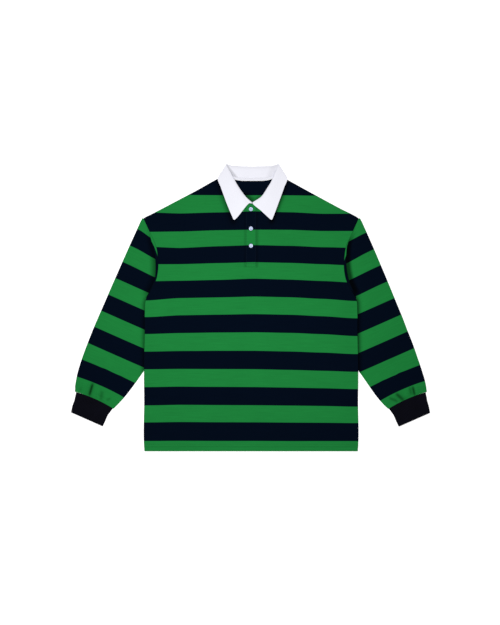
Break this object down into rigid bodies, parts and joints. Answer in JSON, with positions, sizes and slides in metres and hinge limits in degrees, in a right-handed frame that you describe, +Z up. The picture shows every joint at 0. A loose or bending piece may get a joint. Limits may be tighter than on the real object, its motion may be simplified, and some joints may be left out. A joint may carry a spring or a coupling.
{
  "type": "long-sleeved polo shirt laid flat",
  "caption": "Striped long-sleeved rugby polo shirt with a white twill collar, button placket and rib cuffs, laid flat on a surface with its front up.",
  "frame": {"origin": "middle of the outline's box, on the surface that the shirt lies on", "axes": "+Z up out of the front, +Y from the hem to the collar, +X towards the wearer's left sleeve"},
  "size_m": [1.01, 0.8059, 0.0133],
  "materials": {
    "jersey": "matte cotton jersey in green and navy stripes",
    "rib": "matte navy rib knit",
    "twill": "matte white cotton twill",
    "tape": "matte white twill tape",
    "button": "polished pearl polyester"
  },
  "bodies": {
    "root": {"back": "jersey", "front": "jersey", "sleeve_right": "jersey", "sleeve_left": "jersey", "cuff_right": "rib", "cuff_left": "rib", "collar": "twill", "neck_tape": "tape", "placket_under": "jersey", "placket_top": "jersey", "button_1": "button", "button_2": "button", "button_3": "button"}
  },
  "joints": []
}
